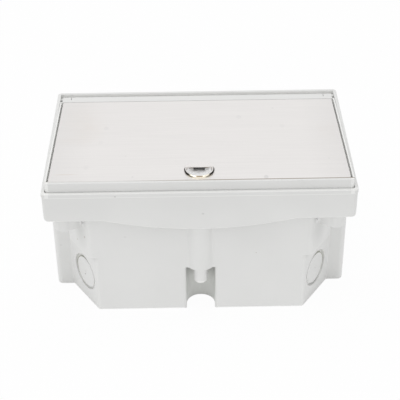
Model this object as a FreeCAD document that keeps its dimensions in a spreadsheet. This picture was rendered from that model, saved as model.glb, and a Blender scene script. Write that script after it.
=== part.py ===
"""Floor box with a hinged steel-topped lid, 200 x 130 x 100 mm, built as separate solids.

Origin: centre of the base, on its underside. +X runs along the long side, +Y towards the hinge, +Z up.
The lid is modelled closed, then placed a few degrees open about its hinge, as it rests.
"""
import FreeCAD, Part
import Sketcher
import math
import os
from types import SimpleNamespace

from FreeCAD import Placement, Rotation, Vector

DRIVING = {
    # trim frame
    "frame_length": 200, "frame_width": 130, "overall_height": 100, "frame_corner": 2.6,
    "rim_width": 2.3, "rim_edge": 0.5, "rim_step_drop": 2.6, "rim_step_inset": 0.3,
    "recess_depth": 9.5, "frame_ledge": 2.5, "ledge_end": 15.7, "ledge_side": 16.7,
    "opening_corner": 6, "skirt_depth": 21, "skirt_wall": 2, "skirt_end_radius": 3,
    "skirt_edge": 0.5, "bow_end_gap": 38, "bow_drop": 7.4,
    # lid and hinge
    "lid_gap": 0.3, "lid_depth": 8, "lid_wall": 1.6, "lid_web": 2, "lid_corner": 2.6,
    "lid_edge": 0.4, "lid_ajar": 3, "hinge_drop": 3, "hinge_strip": 12.1, "strip_drop": 0.9,
    "strip_lip": 0.8, "strip_end_gap": 1.3, "stud_radius": 1.5, "stud_length": 1.4,
    "stud_play": 0.05, "slit_setback": 7.3, "slit_width": 0.4, "slit_length": 6.5,
    "lid_rib": 1.4, "lid_rib_pitch": 36, "lid_rib_height": 4, "lid_rib_root": 1.3,
    "plate_side_gap": 1.25, "border_width": 1.05, "front_border": 2.5, "plate_thickness": 1.2,
    "plate_line": 0.45, "plate_corner": 1.2, "moat_depth": 4.7, "moat_wall": 1.2,
    "line_depth": 2.3, "bumper_radius": 3, "bumper_setback": 19.4, "bumper_inset": 8,
    "bumper_height": 1.5,
    # finger pull
    "pull_setback": 14, "bezel_radius": 9.9, "bezel_height": 1.2, "bezel_round": 1,
    "cup_radius": 8.9, "cup_depth": 8, "dish_radius": 9.5, "dish_rise": 4.5, "lip_setback": 2.6,
    "lip_thickness": 1.1, "pocket_width": 7.3, "pocket_depth": 3.9, "pocket_wall": 1.4,
    "pull_play": 0.1, "clip_radius": 11.6, "clip_thickness": 0.8, "clip_slot": 1,
    "clip_slot_length": 20.3, "clip_boss_wall": 1.5, "clip_boss_height": 2.6,
    # moulded box
    "body_side_gap": 4.2, "body_wall": 2.2, "body_floor": 2.5, "base_edge": 1.4,
    "step_height": 44.5, "lower_front_gap": 30.5, "lower_end_gap": 11.4, "upper_front_gap": 26.3,
    "upper_end_rise": 23.8, "end_setback": 29, "end_corner": 3.4, "return_edge": 6,
    "lower_edge": 3, "upper_edge": 5, "inner_edge": 0.8, "shoulder_gap": 0.2, "mouth_play": 1.1,
    "tower_end_gap": 4.2, "tower_side_gap": 1.2, "tower_radius": 5.5, "tower_foot": 68.5,
    "tower_turn": 33, "tower_web": 10.5, "tower_lap": 2, "crease_width": 1.2,
    "crease_start": 1.5, "crease_reach": 6, "boss_setback": 5.9, "boss_radius": 9.8,
    "boss_blend": 2.4, "notch_radius": 9.6, "notch_height": 35.7, "notch_mouth": 2.2,
    "tube_radius": 4.7, "tube_foot": 19.9, "tube_tip": 2.8, "tube_rib": 2,
    "entry_radius": 13.2, "entry_disc": 11.2, "entry_groove": 1.7, "entry_recess": 0.3,
    "end_entry_radius": 10.7, "end_entry_disc": 8.9,
    "entry_gate": 0.5, "entry_height": 23, "entry_inset": 16.5, "end_entry_setback": 15,
    "base_hole_end_gap": 39.7, "base_hole_setback": 28.5, "base_hole": 2.6,
    "post_end_gap": 6, "post_side_gap": 7, "post_radius": 4,
    # fixings
    "frame_screw": 2, "frame_screw_head": 4, "frame_screw_length": 16, "height_screw": 2.4,
    "height_screw_head": 4.6, "height_screw_length": 56, "screw_play": 0.05, "hole_play": 0.3,
    "slot_width": 1, "slot_depth": 1, "small_slot_width": 0.8, "small_slot_depth": 0.8,
    "plate_screw": 1.5, "plate_screw_head": 2.9, "plate_screw_length": 10,
    "plate_screw_rise": 1.8, "plate_screw_dome": 0.9,
    # device plate and modules
    "device_level": 52, "device_plate": 3, "device_end_gap": 19.7, "device_side_gap": 15.5,
    "tongue_end_gap": 1.2, "tongue_side_gap": 1.3, "device_corner": 5, "device_lip": 2,
    "device_lip_height": 2.5, "module_pitch": 46, "module_gap": 0.4, "module_seat": 1.6,
    "module_play": 0.2, "module_face": 1.6, "module_corner": 1.5, "well_wall": 1.3,
    "well_depth": 14.5, "socket_floor": 2, "base_depth": 14, "pin_pitch": 19, "pin_hole": 2.8,
    "contact_outer": 3.4, "contact_inner": 2.5, "contact_length": 9, "contact_floor": 1,
    "contact_split": 0.8, "contact_root": 2.5, "wire_entry": 1.75, "wire_entry_y": 14,
    "earth_width": 6, "earth_sheet": 0.8, "earth_inset": 2.5, "earth_slot": 2.4,
    "earth_height": 12.5, "earth_nose": 1.6, "port_width": 14.4, "port_length": 13,
    "port_pitch": 18, "jack_width": 15.8, "jack_length": 19, "jack_depth": 24, "jack_mouth": 12,
    "jack_wall": 1.3, "latch_width": 5.8, "latch_depth": 2.8, "data_shell": 6,
    # cable clamps and earth terminal
    "clamp_end_gap": 13.7, "clamp_pitch": 22, "clamp_width": 8, "clamp_height": 4.5,
    "clamp_round": 3.8, "clamp_arch": 6, "clamp_arch_drop": 3.6, "clamp_post": 4,
    "clamp_level": 11, "clamp_screw": 1.6, "clamp_screw_head": 3.1, "clamp_screw_length": 11,
    "terminal_length": 30, "terminal_width": 8, "terminal_height": 8, "terminal_count": 3,
    "terminal_bore": 2.1, "terminal_bore_rise": 3.1, "terminal_screw": 1.7,
    "terminal_screw_rise": 1, "terminal_gap": 18.6, "terminal_seat": 3, "terminal_margin": 2,
}


class Size:
    """A length held both as a spreadsheet expression and as its present value."""

    def __init__(self, text, value):
        self.text = text
        self.value = float(value)

    def _join(self, sign, other, value):
        return Size(f"({self.text} {sign} {as_size(other).text})", value)

    def __add__(self, other):
        return self._join("+", other, self.value + as_size(other).value)

    def __sub__(self, other):
        return self._join("-", other, self.value - as_size(other).value)

    def __mul__(self, other):
        return self._join("*", other, self.value * as_size(other).value)

    def __truediv__(self, other):
        return self._join("/", other, self.value / as_size(other).value)

    def __neg__(self):
        return self * -1


def as_size(number):
    return number if isinstance(number, Size) else Size(repr(float(number)), number)


def root(size):
    return Size(f"sqrt({size.text})", math.sqrt(size.value))


doc = FreeCAD.newDocument("FloorBox")
sheet = doc.addObject("Spreadsheet::Sheet", "Sizes")
for row, (alias, value) in enumerate(DRIVING.items(), start=1):
    sheet.set(f"A{row}", alias)
    sheet.set(f"B{row}", str(value))
    sheet.setAlias(f"B{row}", alias)
doc.recompute()
s = SimpleNamespace(**{alias: Size(f"Sizes.{alias}", sheet.get(alias)) for alias in DRIVING})
THROUGH = 1.0  # how far a cutting solid runs past the face that it cuts


# Building blocks: Part primitives and booleans bound to the sheet

def bind(obj, **sizes):
    for name, size in sizes.items():
        obj.setExpression(name, as_size(size).text)
    return obj


def place(obj, x=0, y=0, z=0):
    for axis, size in zip("xyz", (x, y, z)):
        obj.setExpression(f"Placement.Base.{axis}", as_size(size).text)
    return obj


def block(name, centre, size, foot=0):
    """A box centred on centre = (x, y), size = (length, width, height), standing at z = foot."""
    box = bind(doc.addObject("Part::Box", name), Length=size[0], Width=size[1], Height=size[2])
    x, y = as_size(centre[0]), as_size(centre[1])
    return place(box, x - as_size(size[0]) / 2, y - as_size(size[1]) / 2, foot)


def cylinder(name, radius, height, x=0, y=0, z=0):
    return place(bind(doc.addObject("Part::Cylinder", name), Radius=radius, Height=height), x, y, z)


def lying_cylinder(name, radius, length, x, y, z):
    """A cylinder along +X that starts at x."""
    rod = bind(doc.addObject("Part::Cylinder", name), Radius=radius, Height=length)
    rod.Placement = Placement(Vector(), Rotation(Vector(0, 1, 0), 90))
    return place(rod, x, y, z)


def cone(name, low, high, height, x=0, y=0, z=0):
    solid = bind(doc.addObject("Part::Cone", name), Radius1=low, Radius2=high, Height=height)
    return place(solid, x, y, z)


def ball(name, radius, x=0, y=0, z=0):
    return place(bind(doc.addObject("Part::Sphere", name), Radius=radius), x, y, z)


def fuse(name, *solids):
    joined = doc.addObject("Part::MultiFuse", name)
    joined.Shapes = list(solids)
    return joined


def common(name, *solids):
    shared = doc.addObject("Part::MultiCommon", name)
    shared.Shapes = list(solids)
    return shared


def cut(name, base, *tools):
    result = doc.addObject("Part::Cut", name)
    result.Base = base
    result.Tool = tools[0] if len(tools) == 1 else fuse(name + "_tools", *tools)
    return result


def prism(name, points, foot, height, plane="XY", inset=None):
    """Extrudes the closed outline through points, each a pair of sizes, bound in a sketch."""
    sketch = doc.addObject("Sketcher::SketchObject", name + "_sketch")
    if plane == "XZ":
        sketch.Placement = Placement(Vector(), Rotation(Vector(1, 0, 0), 90))
    spots = [(as_size(x), as_size(y)) for x, y in points]
    flat = [Vector(x.value, y.value, 0) for x, y in spots]
    for i, start in enumerate(flat):
        sketch.addGeometry(Part.LineSegment(start, flat[(i + 1) % len(flat)]), False)
    for i, (x, y) in enumerate(spots):
        sketch.addConstraint(Sketcher.Constraint("Coincident", i - 1 if i else len(flat) - 1, 2, i, 1))
        for kind, size in (("DistanceX", x), ("DistanceY", y)):
            number = sketch.addConstraint(Sketcher.Constraint(kind, -1, 1, i, 1, size.value))
            sketch.setExpression(f"Constraints[{number}]", size.text)
    profile = sketch
    if inset is not None:
        profile = bind(doc.addObject("Part::Offset2D", name + "_inset"), Value=-inset)
        profile.Source = sketch
        profile.Join = 2
    solid = doc.addObject("Part::Extrusion", name)
    solid.Base = profile
    solid.DirMode = "Custom"
    solid.Dir = Vector(0, 0, 1) if plane == "XY" else Vector(0, -1, 0)
    solid.Solid = True
    bind(solid, LengthFwd=height)
    if plane == "XY":
        solid.setExpression("Placement.Base.z", as_size(foot).text)
    else:
        solid.setExpression("Placement.Base.y", as_size(foot).text)
    return solid


def soften(name, base, radius, picked):
    """Fillets the edges of base that picked(edge) accepts."""
    doc.recompute()
    rounded = doc.addObject("Part::Fillet", name)
    rounded.Base = base
    edges = [i for i, edge in enumerate(base.Shape.Edges, start=1) if picked(edge)]
    rounded.Edges = [(i, as_size(radius).value, as_size(radius).value) for i in edges]
    return rounded


def upright(edge, where=None):
    """True for a straight vertical edge, at one of the plan points in where if it is given."""
    low, high = edge.BoundBox.ZMin, edge.BoundBox.ZMax
    box = edge.BoundBox
    if high - low < 1 or box.XLength > 1e-6 or box.YLength > 1e-6:
        return False
    if where is None:
        return True
    return any(abs(abs(box.XMin) - x) < 0.01 and abs(abs(box.YMin) - y) < 0.01 for x, y in where)


def four_corners(x, y):
    return [(-x, -y), (x, -y), (x, y), (-x, y)]


def mirrored_outline(corner):
    """The whole outline from its front right quarter, listed from the front middle to the side."""
    right_front = list(corner)
    right_back = [(x, -y) for x, y in reversed(corner)]
    left_back = [(-x, -y) for x, y in corner]
    left_front = [(-x, y) for x, y in reversed(corner)]
    return right_front + right_back + left_back + left_front


# Levels and places that several pieces share

half_length = s.frame_length / 2
half_width = s.frame_width / 2
ledge_top = s.overall_height - s.recess_depth
body_top = ledge_top - s.frame_ledge
skirt_foot = s.overall_height - s.skirt_depth
skirt_x = half_length - s.rim_step_inset
skirt_y = half_width - s.rim_step_inset
inner_x = half_length - s.rim_width
inner_y = half_width - s.rim_width
lid_x = inner_x - s.lid_gap
lid_y = inner_y - s.lid_gap
hinge_y = lid_y - s.hinge_drop
hinge_z = s.overall_height - s.hinge_drop
hinge_nose = s.hinge_drop - s.strip_drop
lid_foot = s.overall_height - s.lid_depth
plate_seat = s.overall_height - s.plate_thickness
web_foot = plate_seat - s.lid_web
strip_front = lid_y - s.hinge_strip
plate_x = lid_x - s.border_width - s.plate_side_gap
plate_front = -lid_y + s.front_border
plate_back = strip_front - s.plate_line
pull_y = -lid_y + s.pull_setback
body_y = skirt_y - s.skirt_wall - s.body_side_gap
end_x = skirt_x
end_y = body_y - s.end_setback
mouth_x = skirt_x - s.skirt_wall - s.mouth_play
tower_x = skirt_x - s.skirt_wall - s.tower_end_gap - s.tower_radius
tower_y = skirt_y - s.skirt_wall - s.tower_side_gap - s.tower_radius
boss_y = body_y - s.boss_setback
lower_front = end_x - s.lower_front_gap
lower_end = end_x - s.lower_end_gap
upper_front = end_x - s.upper_front_gap
upper_end_y = body_y - s.upper_end_rise
device_top = s.device_level + s.device_plate
device_x = end_x - s.device_end_gap
device_y = body_y - s.device_side_gap
post_x = device_x - s.post_end_gap
post_y = device_y - s.post_side_gap
clamp_x = end_x - s.clamp_end_gap
terminal_y = boss_y - s.terminal_gap
module_flange = s.module_pitch - s.module_gap
module_opening = module_flange - s.module_seat * 2
module_body = module_opening - s.module_play * 2
well_radius = module_body / 2 - s.well_wall
earth_reach = well_radius - s.earth_inset
module_top = device_top + s.module_face
well_foot = module_top - s.well_depth
socket_foot = well_foot - s.socket_floor
base_foot = socket_foot - s.base_depth


def trim_frame():
    """Moulded frame: rim, lid recess, ledge and a skirt whose long sides bow down in the middle."""
    bow_low = skirt_foot - s.bow_drop
    bow_x = half_length - s.bow_end_gap
    rim = block("rim_block", (0, 0), (s.frame_length, s.frame_width, s.rim_step_drop),
                s.overall_height - s.rim_step_drop)
    rim = soften("rim_round", rim, s.frame_corner, upright)
    rim = soften("rim_soft", rim, s.rim_edge, lambda e: e.BoundBox.ZMin > s.overall_height.value - 0.01)
    skirt = block("skirt_block", (0, 0), (skirt_x * 2, skirt_y * 2,
                  s.skirt_depth + s.bow_drop - s.rim_step_drop), bow_low)
    skirt = soften("skirt_round", skirt, s.frame_corner, upright)
    face = prism("skirt_face", [(-skirt_x, skirt_foot), (skirt_x, skirt_foot),
                 (skirt_x, s.overall_height), (-skirt_x, s.overall_height)],
                 half_width, s.frame_width, plane="XZ")
    face = soften("skirt_face_round", face, s.skirt_end_radius,
                  lambda e: e.BoundBox.YLength > 1 and e.BoundBox.ZMax < skirt_foot.value + 1)
    bow_radius = (bow_x * bow_x + s.bow_drop * s.bow_drop) / (s.bow_drop * 2)
    bow = bind(doc.addObject("Part::Cylinder", "bow_disc"), Radius=bow_radius, Height=s.frame_width)
    bow.Placement = Placement(Vector(), Rotation(Vector(1, 0, 0), 90))
    place(bow, 0, half_width, bow_low + bow_radius)
    band = block("bow_band", (0, 0), (bow_x * 2, s.frame_width, s.skirt_depth), bow_low)
    skirt = common("skirt_shape", skirt, fuse("skirt_profile", face, common("bow", bow, band)))
    skirt = soften("skirt_soft", skirt, s.skirt_edge,
                   lambda e: on_skirt_foot(e, bow_x.value) and e.BoundBox.ZMax < skirt_foot.value + 0.01)
    recess = block("recess", (0, 0), (inner_x * 2, inner_y * 2, s.recess_depth + THROUGH), ledge_top)
    recess = soften("recess_round", recess, s.frame_corner - s.rim_step_inset * 3,
                    lambda e: upright(e) and e.BoundBox.YMin < 0)
    hollow = block("skirt_hollow", (0, 0), ((skirt_x - s.skirt_wall) * 2, (skirt_y - s.skirt_wall) * 2,
                   body_top - bow_low + THROUGH), bow_low - THROUGH)
    opening = block("opening", (0, 0), ((inner_x - s.ledge_end) * 2, (inner_y - s.ledge_side) * 2,
                    s.frame_ledge + THROUGH * 2), body_top - THROUGH)
    tools = [recess, hollow, soften("opening_round", opening, s.opening_corner, upright)]
    for side, sign in (("left", -1), ("right", 1)):
        start = inner_x if sign > 0 else -inner_x - s.stud_length
        tools.append(lying_cylinder(f"hinge_socket_{side}", s.stud_radius + s.stud_play,
                                    s.stud_length, start, hinge_y, hinge_z))
    spots = [(x, y, s.frame_screw, s.frame_screw_head) for x, y in four_corners(tower_x, tower_y)]
    spots += [(as_size(0), y, s.height_screw, s.height_screw_head) for y in (-boss_y, boss_y)]
    for i, (x, y, shank, head) in enumerate(spots):
        tools.append(cylinder(f"frame_hole_{i}", shank + s.hole_play, s.frame_ledge + THROUGH * 2,
                              x, y, body_top - THROUGH))
        tools.append(cone(f"frame_sink_{i}", shank, head, head - shank, x, y,
                          ledge_top - (head - shank)))
    return cut("trim_frame", fuse("frame_solid", rim, skirt), *tools)


def on_skirt_foot(edge, bow_x):
    """True for the outer bottom edge of a long side of the skirt, its bow included."""
    box = edge.BoundBox
    return box.YLength < 1e-6 and box.XLength > 1 and abs(abs(box.YMin) - skirt_y.value) < 0.01 \
        and abs(box.XMin) < skirt_x.value - s.skirt_end_radius.value + 0.01


def countersunk_screw(name, shank, head, length, x, y, top):
    """A screw with its flat head's top at z = top, and a straight slot."""
    rod = cylinder(name + "_shank", shank, length, x, y, top - length)
    cap = cone(name + "_head", shank, head, head - shank, x, y, top - (head - shank))
    slot = block(name + "_slot", (x, y), (head * 2 + THROUGH, s.slot_width, s.slot_depth * 2),
                 top - s.slot_depth)
    return cut(name, fuse(name + "_body", rod, cap), slot)


def pan_screw(name, shank, head, length, rise, x, y, seat):
    """A screw whose domed head stands on z = seat, with its slot along X."""
    rod = cylinder(name + "_shank", shank, length, x, y, seat - length)
    disc = cylinder(name + "_head", head, rise, x, y, seat)
    disc = soften(name + "_dome", disc, s.plate_screw_dome,
                  lambda e: e.BoundBox.ZLength < 1e-6 and e.BoundBox.ZMin > seat.value + 0.1)
    slot = block(name + "_slot", (x, y), (head * 2 + THROUGH, s.small_slot_width,
                 s.small_slot_depth * 2), seat + rise - s.small_slot_depth)
    return cut(name, fuse(name + "_body", rod, disc), slot)


def group(name, solids):
    """Several identical loose solids under one name."""
    together = doc.addObject("Part::Compound", name)
    together.Links = solids
    return together


def corner_screws():
    screws = [countersunk_screw(f"corner_screw_{i}", s.frame_screw, s.frame_screw_head,
              s.frame_screw_length, x, y, ledge_top)
              for i, (x, y) in enumerate(four_corners(tower_x, tower_y))]
    return group("corner_screws", screws)


def height_screws():
    screws = [countersunk_screw(f"height_screw_{i}", s.height_screw, s.height_screw_head,
              s.height_screw_length, 0, y, ledge_top) for i, y in enumerate((-boss_y, boss_y))]
    return group("height_screws", screws)


def lower_corner():
    return [(lower_front, -body_y), (lower_end, -end_y), (end_x, -end_y)]


def upper_corner(end):
    return [(upper_front, -body_y), (lower_end, -upper_end_y), (lower_end, -end_y), (end, -end_y)]


def values(*corners):
    return [(abs(x.value), abs(y.value)) for x, y in corners]


def entry_ring(name, radius, disc_radius, x, y, turn):
    """One knock-out, facing turn degrees from +X: a sunk disc inside a deeper ring groove."""
    way_x, way_y = math.cos(math.radians(turn)), math.sin(math.radians(turn))
    level = Rotation(Vector(0, 0, 1), turn).multiply(Rotation(Vector(0, 1, 0), 90))

    def facing_cylinder(part, size, depth, height):
        """A cylinder whose axis leaves the wall, from depth under its face."""
        rod = bind(doc.addObject("Part::Cylinder", f"{name}_{part}"), Radius=size, Height=height)
        rod.Placement = Placement(Vector(), level)
        return place(rod, x - depth * way_x, y - depth * way_y, s.entry_height)

    sunk = facing_cylinder("outer", radius, s.entry_groove, s.entry_groove * 2)
    disc = facing_cylinder("disc", disc_radius, s.entry_groove + THROUGH,
                           s.entry_groove - s.entry_recess + THROUGH)
    gate = facing_cylinder("gate", s.entry_gate, s.entry_recess + s.entry_gate / 2, s.entry_gate)
    return fuse(name, cut(f"{name}_ring", sunk, disc), gate)


def tower(name, side_x, side_y):
    """A screw tower under the frame: a round nose and a web that runs back to the corner facet."""
    height = body_top - s.tower_foot
    across, along = (trig(math.radians(s.tower_turn.value)) for trig in (math.sin, math.cos))
    nose_x = tower_x - s.tower_radius * across
    nose_y = tower_y + s.tower_radius * along
    root_x = nose_x - s.tower_web * along
    root_y = nose_y - s.tower_web * across
    outer_x = tower_x + s.tower_radius
    corner = [(outer_x, tower_y), (outer_x, end_y - s.tower_lap), (lower_front, end_y - s.tower_lap),
              (root_x - s.body_wall * 2, root_y - s.body_wall * 2), (root_x, root_y), (nose_x, nose_y)]
    web = prism(name, [(x * side_x, y * side_y) for x, y in corner], s.tower_foot, height)
    slope = s.upper_front_gap - s.lower_end_gap
    facet = [(upper_front + slope * (y / s.upper_end_rise), body_y - y)
             for y in (s.crease_start, s.crease_reach)]
    width_x, width_y = s.crease_width * 0.84, s.crease_width * 0.55
    crease = prism(name + "_crease", [(x * side_x, y * side_y) for x, y in (facet[0], facet[1],
                   (facet[1][0] + width_x, facet[1][1] + width_y),
                   (facet[0][0] + width_x, facet[0][1] + width_y))], s.tower_foot - THROUGH,
                   height + THROUGH * 2)
    return [cut(name + "_web", web, crease),
            cylinder(name + "_nose", s.tower_radius, height, tower_x * side_x, tower_y * side_y,
                     s.tower_foot)]


def channel(end, sign):
    """Solids of the half-round channel and its screw boss in the middle of one long wall."""
    y = boss_y * sign
    out = (s.boss_setback + THROUGH) * 2
    mid_y = y + out * (sign / 2)
    wall_top = s.notch_height + s.body_wall
    wide = s.notch_radius + s.body_wall
    face_y = body_y * sign
    flare_x = s.notch_radius + s.notch_mouth
    flare_y = (body_y - s.notch_mouth) * sign
    flare_height = s.notch_height + THROUGH
    flare = block(f"channel_flare_{end}", (0, flare_y + (s.notch_mouth + THROUGH) * (sign / 2)),
                  (flare_x * 2, s.notch_mouth + THROUGH, flare_height), -THROUGH)
    lips = [cylinder(f"channel_lip_{end}_{i}", s.notch_mouth, flare_height, flare_x * way, flare_y,
                     -THROUGH) for i, way in enumerate((-1, 1))]
    blend_rise = s.boss_setback + s.boss_blend
    blend_reach = s.boss_radius + s.boss_blend
    blend_x = root(blend_reach * blend_reach - blend_rise * blend_rise)
    blend_out = s.boss_radius * (blend_rise / blend_reach) - s.boss_setback
    blend_height = body_top - s.notch_height
    fill = block(f"boss_fill_{end}", (0, face_y + (blend_out - THROUGH) * (sign / 2)),
                 (blend_x * 2, blend_out + THROUGH, blend_height), s.notch_height)
    hollows = [cylinder(f"boss_blend_{end}_{i}", s.boss_blend, blend_height, blend_x * way,
                        face_y + s.boss_blend * sign, s.notch_height)
               for i, way in enumerate((-1, 1))]
    blend = cut(f"boss_foot_{end}", fill, *hollows)
    boss = cylinder(f"boss_{end}", s.boss_radius, body_top - s.notch_height, 0, y, s.notch_height)
    hollow = cylinder(f"boss_hollow_{end}", s.boss_radius - s.body_wall, body_top - wall_top + THROUGH,
                      0, y, wall_top)
    space = [cylinder(f"channel_{end}", s.notch_radius, s.notch_height + THROUGH, 0, y, -THROUGH),
             block(f"channel_mouth_{end}", (0, mid_y), (s.notch_radius * 2, out,
                   s.notch_height + THROUGH), -THROUGH),
             cut(f"channel_flared_{end}", flare, *lips)]
    walls = [cylinder(f"channel_wall_{end}", wide, wall_top, 0, y),
             block(f"channel_cheeks_{end}", (0, mid_y), (wide * 2, out, wall_top), 0)]
    tube = cylinder(f"tube_{end}", s.tube_radius, body_top - s.tube_foot, 0, y, s.tube_foot)
    tube = soften(f"tube_{end}_tip_round", tube, s.tube_tip, lambda e:
                  e.BoundBox.ZLength < 1e-6 and e.BoundBox.ZMin < s.tube_foot.value + 0.1)
    rib = block(f"tube_rib_{end}", (0, y + s.boss_radius * (sign / 2)),
                (s.tube_rib, s.boss_radius - s.body_wall / 2, body_top - s.notch_height),
                s.notch_height)
    bore = cylinder(f"tube_bore_{end}", s.height_screw + s.screw_play, s.height_screw_length, 0, y,
                    ledge_top - s.height_screw_length)
    return [boss, blend], hollow, space, walls, [tube, rib], bore


def box_shell():
    """The box's outer form: stepped and faceted corners, end blocks, towers and hollow inside."""
    shoulder = skirt_foot - s.shoulder_gap
    lower = prism("lower_outer", mirrored_outline(lower_corner()), 0, s.step_height)
    lower = soften("lower_facet_soft", lower, s.lower_edge,
                   lambda e: upright(e, values(lower_corner()[0])))
    lower = soften("lower_end_soft", lower, s.end_corner,
                   lambda e: upright(e, values(lower_corner()[2])))
    lower = soften("lower_inner_soft", lower, s.inner_edge,
                   lambda e: upright(e, values(lower_corner()[1])))
    lower = soften("lower_base_soft", lower, s.base_edge, lambda e: e.BoundBox.ZMax < 0.01)
    upper = prism("upper_outer", mirrored_outline(upper_corner(end_x)), s.step_height,
                  shoulder - s.step_height)
    upper = soften("upper_facet_soft", upper, s.upper_edge,
                   lambda e: upright(e, values(upper_corner(end_x)[0])))
    upper = soften("upper_return_soft", upper, s.return_edge,
                   lambda e: upright(e, values(upper_corner(end_x)[1])))
    upper = soften("upper_end_soft", upper, s.end_corner,
                   lambda e: upright(e, values(upper_corner(end_x)[3])))
    mouth = prism("mouth_outer", mirrored_outline(upper_corner(mouth_x)), shoulder,
                  body_top - shoulder)
    mouth = soften("mouth_facet_soft", mouth, s.upper_edge,
                   lambda e: upright(e, values(upper_corner(mouth_x)[0])))
    solids = [lower, upper, mouth]
    for side_x, side_y in ((-1, -1), (1, -1), (1, 1), (-1, 1)):
        name = f"tower_{'left' if side_x < 0 else 'right'}_{'front' if side_y < 0 else 'back'}"
        solids += tower(name, side_x, side_y)
    step_foot = s.step_height - s.body_wall
    step_top = s.step_height + s.body_wall
    levels = [("lower_cavity", lower_corner(), s.body_floor, step_foot - s.body_floor),
              ("upper_cavity", upper_corner(mouth_x), step_top, body_top - step_top + THROUGH),
              ("lower_join", lower_corner(), step_foot, s.body_wall * 2),
              ("upper_join", upper_corner(mouth_x), step_foot, s.body_wall * 2)]
    cavity = [prism(name, mirrored_outline(corner), foot, height, inset=s.body_wall)
              for name, corner, foot, height in levels]
    cavity = cavity[:2] + [common("join_cavity", *cavity[2:])]
    spaces, walls, tubes, bores = [], [], [], []
    for end, sign in (("front", -1), ("back", 1)):
        boss, hollow, space, wall, tube, bore = channel(end, sign)
        solids += boss
        cavity.append(hollow)
        spaces += space
        walls += wall
        tubes += tube
        bores.append(bore)
    shell = cut("body_shell", fuse("body_outer", *solids),
                cut("body_cavity", fuse("cavity", *cavity), *walls))
    shell = cut("body_channelled", shell, *spaces)
    return shell, tubes, bores


def box_body():
    """Moulded box: the shell with its posts, bores and knock-outs."""
    shell, extras, holes = box_shell()
    for i, (x, y) in enumerate(four_corners(tower_x, tower_y)):
        holes.append(cylinder(f"tower_hole_{i}", s.frame_screw + s.screw_play, s.frame_screw_length,
                              x, y, ledge_top - s.frame_screw_length))
    for i, (x, y) in enumerate(four_corners(post_x, post_y)):
        extras.append(cylinder(f"post_{i}", s.post_radius, s.device_level, x, y))
        holes.append(cylinder(f"post_hole_{i}", s.plate_screw + s.screw_play, s.plate_screw_length,
                              x, y, device_top - s.plate_screw_length))
    for i, (x, y) in enumerate(four_corners(end_x - s.base_hole_end_gap, body_y - s.base_hole_setback)):
        holes.append(cylinder(f"base_hole_{i}", s.base_hole, s.body_floor + THROUGH * 2, x, y, -THROUGH))
    for i, (x, y) in enumerate(four_corners(clamp_x, s.clamp_pitch / 2)):
        extras.append(cylinder(f"clamp_post_{i}", s.clamp_post, s.clamp_level, x, y))
        holes.append(cylinder(f"clamp_hole_{i}", s.clamp_screw + s.screw_play,
                              s.clamp_screw_length - s.clamp_height, x, y,
                              s.clamp_level + s.clamp_height - s.clamp_screw_length))
    extras.append(block("terminal_seat", (0, terminal_y), (s.terminal_length + s.terminal_margin * 2,
                        s.terminal_width, s.terminal_seat + s.body_floor), 0))
    run = lower_end - lower_front
    turn = math.degrees(math.atan2(run.value, s.end_setback.value))
    reach_x = s.entry_inset * math.sin(math.radians(turn))
    reach_y = s.entry_inset * math.cos(math.radians(turn))
    rings = []
    facing = {(-1, -1): 180 + turn, (1, -1): -turn, (1, 1): turn, (-1, 1): 180 - turn}
    for side_x, side_y in facing:
        side = f"{'left' if side_x < 0 else 'right'}_{'front' if side_y < 0 else 'back'}"
        rings.append(entry_ring(f"entry_{side}", s.entry_radius, s.entry_disc,
                                (lower_front + reach_x) * side_x, (body_y - reach_y) * side_y,
                                facing[side_x, side_y]))
        rings.append(entry_ring(f"end_entry_{side}", s.end_entry_radius, s.end_entry_disc,
                                end_x * side_x, (end_y - s.end_entry_setback) * side_y,
                                0 if side_x > 0 else 180))
    return cut("box_body", fuse("body_furnished", shell, *extras), *holes, *rings)


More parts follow.
